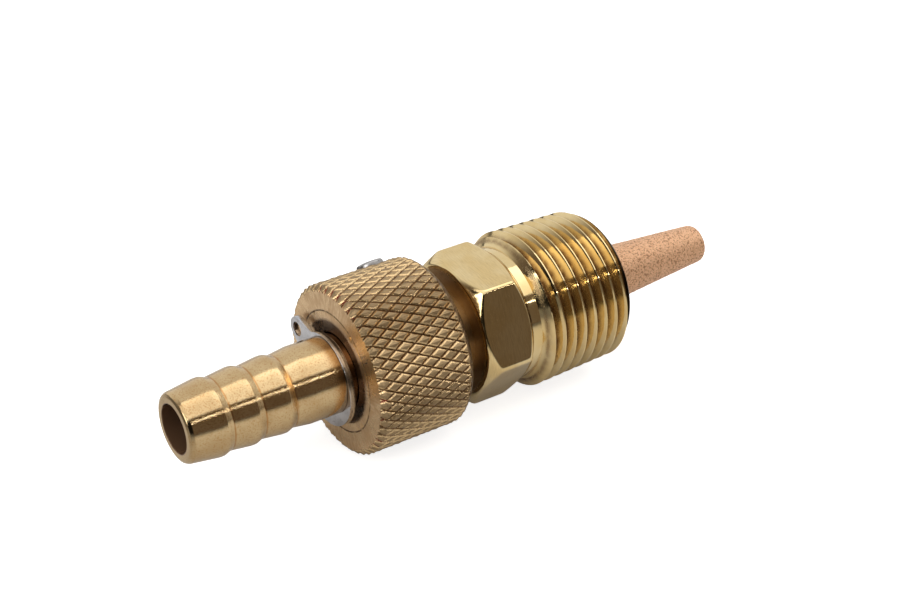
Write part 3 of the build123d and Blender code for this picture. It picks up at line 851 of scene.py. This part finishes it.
# Oil and painted shade together: below about two thirds of the knurl's depth the colour goes to this brown.
ragged = calculate(tree, "ADD", sunk, rescale(tree, torn, 0.3, 0.7, -0.04 * MM, 0.04 * MM))
on_girth = rescale(tree, sunk, (knurl_depth + 0.1) * MM, (knurl_depth + 0.08) * MM)
grime_and_shade_share = calculate(tree, "MULTIPLY", on_girth, rescale(tree, ragged, 0.62 * knurl_depth * MM, 0.95 * knurl_depth * MM))
# Painted shade: the turned band at the sleeve's rear, next to the gap before the hexagon, is darkened three quarters
# of the way to the same brown.
turned_rear = rescale(tree, along, (sleeve_rear - 0.70) * MM, (sleeve_rear - 0.64) * MM)
colour = mix_colours(tree, calculate(tree, "MULTIPLY", turned_rear, 0.75), colour, oil_and_shade_brown)
tree.links.new(mix_colours(tree, grime_and_shade_share, colour, grime_and_shade_colour), shader.inputs["Base Color"])
dull = calculate(tree, "ADD", rescale(tree, sunk, crown_height * MM, (crown_height + 0.05) * MM, 0.44, 0.14),
                 rescale(tree, torn, 0.45, 0.7, -0.05, 0.12))
dull = node(tree, "Mix", {0: turned_rear, 2: dull, 3: 0.24}).outputs[0]
tree.links.new(calculate(tree, "ADD", dull, calculate(tree, "MULTIPLY", grime_and_shade_share, 0.2)), shader.inputs["Roughness"])
relief(tree, shader, torn, 0.05, after=relief(tree, shader, lumps, 0.03))
put_on(knurled_brass, knurled_sleeve)

# %% [markdown]
# ## Faced brass
#
# The flat front of the sleeve and the washer in it were faced together in one cut. The tool chattered, which left
# very fine marks that run outwards across the face, and over them lie the rings of the feed. The sleeve's front
# face gets this finish too: its polygons are picked by where they lie and which way they look.

# %% Faced brass
faced_light = (0.78, 0.55, 0.31)
faced_deep = (0.64, 0.425, 0.225)
joint_and_recess_dark = (0.10, 0.05, 0.02)
chatter_marks = 230

faced_brass, tree, shader, place = start_finish("faced_brass")
along, radius, angle = turned_places(tree, place)
round_place = node(tree, "CombineXYZ", {"X": calculate(tree, "MULTIPLY", angle, chatter_marks / (2 * pi) * MM),
                                        "Y": calculate(tree, "MULTIPLY", radius, 0.8)}).outputs[0]
chatter = grain(tree, round_place, 1.0, detail=2.0)
clouds = grain(tree, place, 1.6)
rings = tool_rings(tree, along, radius, 0.09)
blotches = calculate(tree, "ADD", calculate(tree, "MULTIPLY", chatter, 0.5), calculate(tree, "MULTIPLY", clouds, 0.5))
colour = mix_colours(tree, rescale(tree, blotches, 0.38, 0.62), faced_light, faced_deep)
off_joint = calculate(tree, "ABSOLUTE", calculate(tree, "SUBTRACT", radius, washer_radius * MM))
on_joint = calculate(tree, "MULTIPLY", rescale(tree, off_joint, 0.03 * MM, 0.14 * MM, 1.0, 0.0),
                     rescale(tree, grain(tree, place, 0.7), 0.35, 0.6, 0.25, 0.9))
# Painted shade: inside the recess round the stem, under the retaining ring, the face is darkened to the joint's
# brown. The thin dark joint line itself is the joint's own colour.
recess_shade = rescale(tree, radius, (recess_radius + 0.4) * MM, (recess_radius - 0.1) * MM, 0.0, 0.85)
joint_line_and_recess_shade = calculate(tree, "MAXIMUM", on_joint, recess_shade)
tree.links.new(mix_colours(tree, joint_line_and_recess_shade, colour, joint_and_recess_dark), shader.inputs["Base Color"])
tree.links.new(rescale(tree, blotches, 0.4, 0.65, 0.26, 0.40), shader.inputs["Roughness"])
relief(tree, shader, chatter, 0.012, after=relief(tree, shader, rings, 0.005))
put_on(faced_brass, end_washer)
knurled_sleeve.data.materials.append(faced_brass)
front_faces = [face for face in knurled_sleeve.data.polygons
               if face.normal.x < -0.9 and abs(face.center.x - sleeve_front * MM) < 0.01 * MM]
for face in front_faces:
    face.material_index = 1
print(len(front_faces), "faces of the sleeve are faced")

# %% [markdown]
# ## Ring steel, screw steel and bright steel
#
# The retaining ring is stamped spring steel with a thin bright coat and a few dark specks where the coat is
# through. The set screw is blackened. The ball and the spring
# are inside, where only someone who takes the valve apart will see them, but they get their own finish as well.

# %% Steels
def steel(name, light, dark, speck_size, roughness, rough_spread):
    """A steel with dark specks and a roughness that varies a little."""
    made, tree, shader, place = start_finish(name)
    specks = rescale(tree, grain(tree, place, speck_size, detail=4.0), 0.60, 0.68)
    clouds = grain(tree, place, 1.5)
    shade = rescale(tree, clouds, 0.35, 0.65, 0.0, 0.35)
    either = calculate(tree, "MAXIMUM", specks, shade)
    tree.links.new(mix_colours(tree, either, light, dark), shader.inputs["Base Color"])
    tree.links.new(rescale(tree, clouds, 0.3, 0.7, roughness, roughness + rough_spread),
                   shader.inputs["Roughness"])
    relief(tree, shader, grain(tree, place, 0.15, detail=5.0), 0.006)
    return made


ring_steel = steel("ring_steel", (0.62, 0.62, 0.65), (0.24, 0.23, 0.23), 0.22, 0.09, 0.10)
screw_steel = steel("screw_steel", (0.44, 0.43, 0.42), (0.13, 0.12, 0.12), 0.4, 0.24, 0.14)
bright_steel = steel("bright_steel", (0.78, 0.78, 0.80), (0.52, 0.50, 0.48), 0.5, 0.10, 0.06)
put_on(ring_steel, retaining_ring)
put_on(screw_steel, set_screw)
put_on(bright_steel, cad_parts["detent_ball"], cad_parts["detent_spring"])

# %% [markdown]
# ## Seal rubber
#
# The three rings are black nitrile rubber, greased when the valve was put together. Rubber is no metal: it is
# dark, a little dusty in its clouds, and shines softly where the grease lies.

# %% Seal rubber
seal_rubber, tree, shader, place = start_finish("seal_rubber", metallic=0.0)
clouds = grain(tree, place, 0.8)
tree.links.new(mix_colours(tree, rescale(tree, clouds, 0.35, 0.7), (0.012, 0.012, 0.013), (0.035, 0.033, 0.031)),
               shader.inputs["Base Color"])
tree.links.new(rescale(tree, clouds, 0.35, 0.65, 0.28, 0.55), shader.inputs["Roughness"])
relief(tree, shader, grain(tree, place, 0.12, detail=4.0), 0.008)
put_on(seal_rubber, *[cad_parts[name] for name in ("front_seal", "rear_seal", "port_seal")])

# %% [markdown]
# ## Sintered bronze
#
# The grains of the filter are round, pinkish and a little shiny. The pores between them get painted shade: they are
# painted dark. A Voronoi
# texture gives each grain its own cell: the distance to the cell's middle is the grain's height, and each cell
# has its own tint.

# %% Sintered bronze
bronze_light = (0.88, 0.54, 0.32)
bronze_deep = (0.74, 0.42, 0.23)
pore_shade_colour = (0.40, 0.20, 0.10)
cell_size = 0.19

sintered_bronze, tree, shader, place = start_finish("sintered_bronze", metallic=0.45)
cells = node(tree, "TexVoronoi", {"Vector": place, "Scale": 1 / (cell_size * MM), "Randomness": 1.0})
tint = node(tree, "SeparateColor", {0: cells.outputs["Color"]}).outputs[0]
pore_shade = rescale(tree, cells.outputs["Distance"], 0.52, 0.80)
dust = grain(tree, place, 0.09, detail=4.0)
colour = mix_colours(tree, tint, bronze_light, bronze_deep)
tree.links.new(mix_colours(tree, pore_shade, colour, pore_shade_colour), shader.inputs["Base Color"])
tree.links.new(rescale(tree, dust, 0.3, 0.7, 0.38, 0.60), shader.inputs["Roughness"])
grain_top = rescale(tree, cells.outputs["Distance"], 0.0, 0.8, 1.0, 0.0)
relief(tree, shader, dust, 0.008, after=relief(tree, shader, grain_top, 0.03))
put_on(sintered_bronze, inlet_filter)

# %% [markdown]
# ## Camera
#
# The camera stands where the photograph was taken: it was found from the ellipses of the turned rims.

# %% Camera
view_azimuth, view_elevation = radians(-34.4), radians(30.64)
to_right = Vector((cos(view_azimuth), sin(view_azimuth), 0))
to_camera = Vector((sin(view_azimuth) * cos(view_elevation), -cos(view_azimuth) * cos(view_elevation),
                    sin(view_elevation)))
to_top = to_camera.cross(to_right)
aim_point = Vector((-8.85, 0, 0)) * MM
camera_offset = (2.64, 4.15, 194.85)
camera = bpy.data.objects.new("camera", bpy.data.cameras.new("camera"))
bpy.context.scene.collection.objects.link(camera)
camera.location = aim_point + (to_right * camera_offset[0] + to_top * camera_offset[1]
                               + to_camera * camera_offset[2]) * MM
camera.rotation_mode = "QUATERNION"
camera.rotation_quaternion = Matrix((to_right, to_top, to_camera)).transposed().to_quaternion()
camera.data.lens = 73.75
camera.data.sensor_width = 36
camera.data.clip_start = 0.005
camera.data.clip_end = 10
bpy.context.scene.camera = camera
print("camera stands", round(camera.location.length / MM), "mm from the origin")

# %% [markdown]
# ## Floor and background
#
# The object lies on its sleeve on a sheet of white paper. The paper is matt, and for the camera, and in part for what
# the metal reflects, it shines a little by itself. So it comes out white round the object and still takes the
# object's soft shadow. For every ray but the camera's, its colour is painted dark towards the camera and to the left:
# a painted pool of light round the object, which the metal mirrors.

# %% Floor
floor_size = 3.0
floor_glow_seen = 0.80
floor_glow_reflected = 0.05
paper_white = (0.68, 0.67, 0.65)
unlit_paper = (0.10, 0.10, 0.10)
paper_start, paper_end = 20, 170
paper_left_start, paper_left_end = 20, 90

floor_sheet = bmesh.new()
bmesh.ops.create_grid(floor_sheet, x_segments=1, y_segments=1, size=floor_size / 2)
bmesh.ops.translate(floor_sheet, verts=floor_sheet.verts, vec=(0, 0, frame_low.z))
paper_floor = finished("paper_floor", floor_sheet)

paper, tree, shader, place = start_finish("white_paper", metallic=0.0)
floor_place = node(tree, "SeparateXYZ", {0: place})
# Painted light: away from the object, towards the camera and to the left, the paper's colour fades to dark for every
# ray but the camera's.
lit = rescale(tree, floor_place.outputs["Y"], -paper_end * MM, -paper_start * MM)
lit_left = rescale(tree, floor_place.outputs["X"], -paper_left_end * MM, -paper_left_start * MM)
lit = calculate(tree, "MINIMUM", lit, lit_left)
rays = node(tree, "LightPath")
lit = calculate(tree, "MAXIMUM", lit, rays.outputs["Is Camera Ray"])
tree.links.new(mix_colours(tree, lit, unlit_paper, paper_white), shader.inputs["Base Color"])
shader.inputs["Roughness"].default_value = 0.9
shader.inputs["Specular IOR Level"].default_value = 0.1
mirrored = calculate(tree, "MAXIMUM", rays.outputs["Is Glossy Ray"], rays.outputs["Is Transmission Ray"])
glow = calculate(tree, "ADD", calculate(tree, "MULTIPLY", rays.outputs["Is Camera Ray"], floor_glow_seen),
                 calculate(tree, "MULTIPLY", mirrored, floor_glow_reflected))
shader.inputs["Emission Color"].default_value = (1, 1, 1, 1)
tree.links.new(glow, shader.inputs["Emission Strength"])
put_on(paper, paper_floor)

# %% [markdown]
# ## The studio
#
# Polished metal is only as good as what it mirrors. The bands on the thread and on the tail tell what stood round
# the real object: a large soft box above it and a little to the right, a pale wall behind, a dark room behind the
# camera, and one thin bright edge between the soft box and the dark. The world holds the wall and the room, as a
# colour that depends on the direction only, and two lamps are the soft box and the edge.

# %% World
wall_cream = (0.90, 0.90, 0.90)
room_brown = (0.150, 0.118, 0.093)
left_black = (0.012, 0.010, 0.008)
wall_side = (0.53, 0.85, 0)
left_side = (-0.794, -0.530, 0.297)
world = bpy.data.worlds.new("studio")
bpy.context.scene.world = world
world.use_nodes = True
tree = world.node_tree
background = tree.nodes["Background"]
direction = node(tree, "TexCoord").outputs["Generated"]
toward_wall = node(tree, "VectorMath", {0: direction, 1: wall_side}, operation="DOT_PRODUCT").outputs["Value"]
toward_left = node(tree, "VectorMath", {0: direction, 1: left_side}, operation="DOT_PRODUCT").outputs["Value"]
room = mix_colours(tree, rescale(tree, toward_left, 0.68, 0.80), room_brown, left_black)
around = mix_colours(tree, rescale(tree, toward_wall, -0.25, 0.45), room, wall_cream)
rays = node(tree, "LightPath")
seen = mix_colours(tree, rays.outputs["Is Camera Ray"], around, (1, 1, 1))
tree.links.new(seen, background.inputs["Color"])
background.inputs["Strength"].default_value = 1.0
print("world goes from", room_brown, "to", wall_cream)

# %% Lamps
def lamp(name, place, toward, length, width, glow):
    """A soft rectangular lamp at a place, long along X, facing back along a direction, with a glow per area."""
    data = bpy.data.lights.new(name, "AREA")
    data.shape = "RECTANGLE"
    data.size = length
    data.size_y = width
    data.energy = glow * pi * length * width
    light = bpy.data.objects.new(name, data)
    away = Vector(toward).normalized()
    side = (Vector((1, 0, 0)) - away * away.x).normalized()
    light.rotation_mode = "QUATERNION"
    light.rotation_quaternion = Matrix((side, away.cross(side), away)).transposed().to_quaternion()
    light.location = place
    light.visible_camera = False
    bpy.context.scene.collection.objects.link(light)
    print(name, "shines with", round(data.energy, 3), "W")
    return light


edge_way = Vector((0.486, -0.704, 0.517))
window_way = Vector((-0.86, -0.20, 0.47))
lamp("soft_box", place=(-0.05, -0.107, 0.34), toward=(0, 0, 1), length=0.85, width=0.387, glow=1.2)
lamp("bright_edge", place=edge_way * 0.5, toward=edge_way, length=0.8, width=0.004, glow=20.0)
lamp("left_window", place=window_way * 0.5, toward=window_way, length=0.24, width=0.24, glow=4.0)
bpy.context.scene.view_settings.view_transform = "Standard"
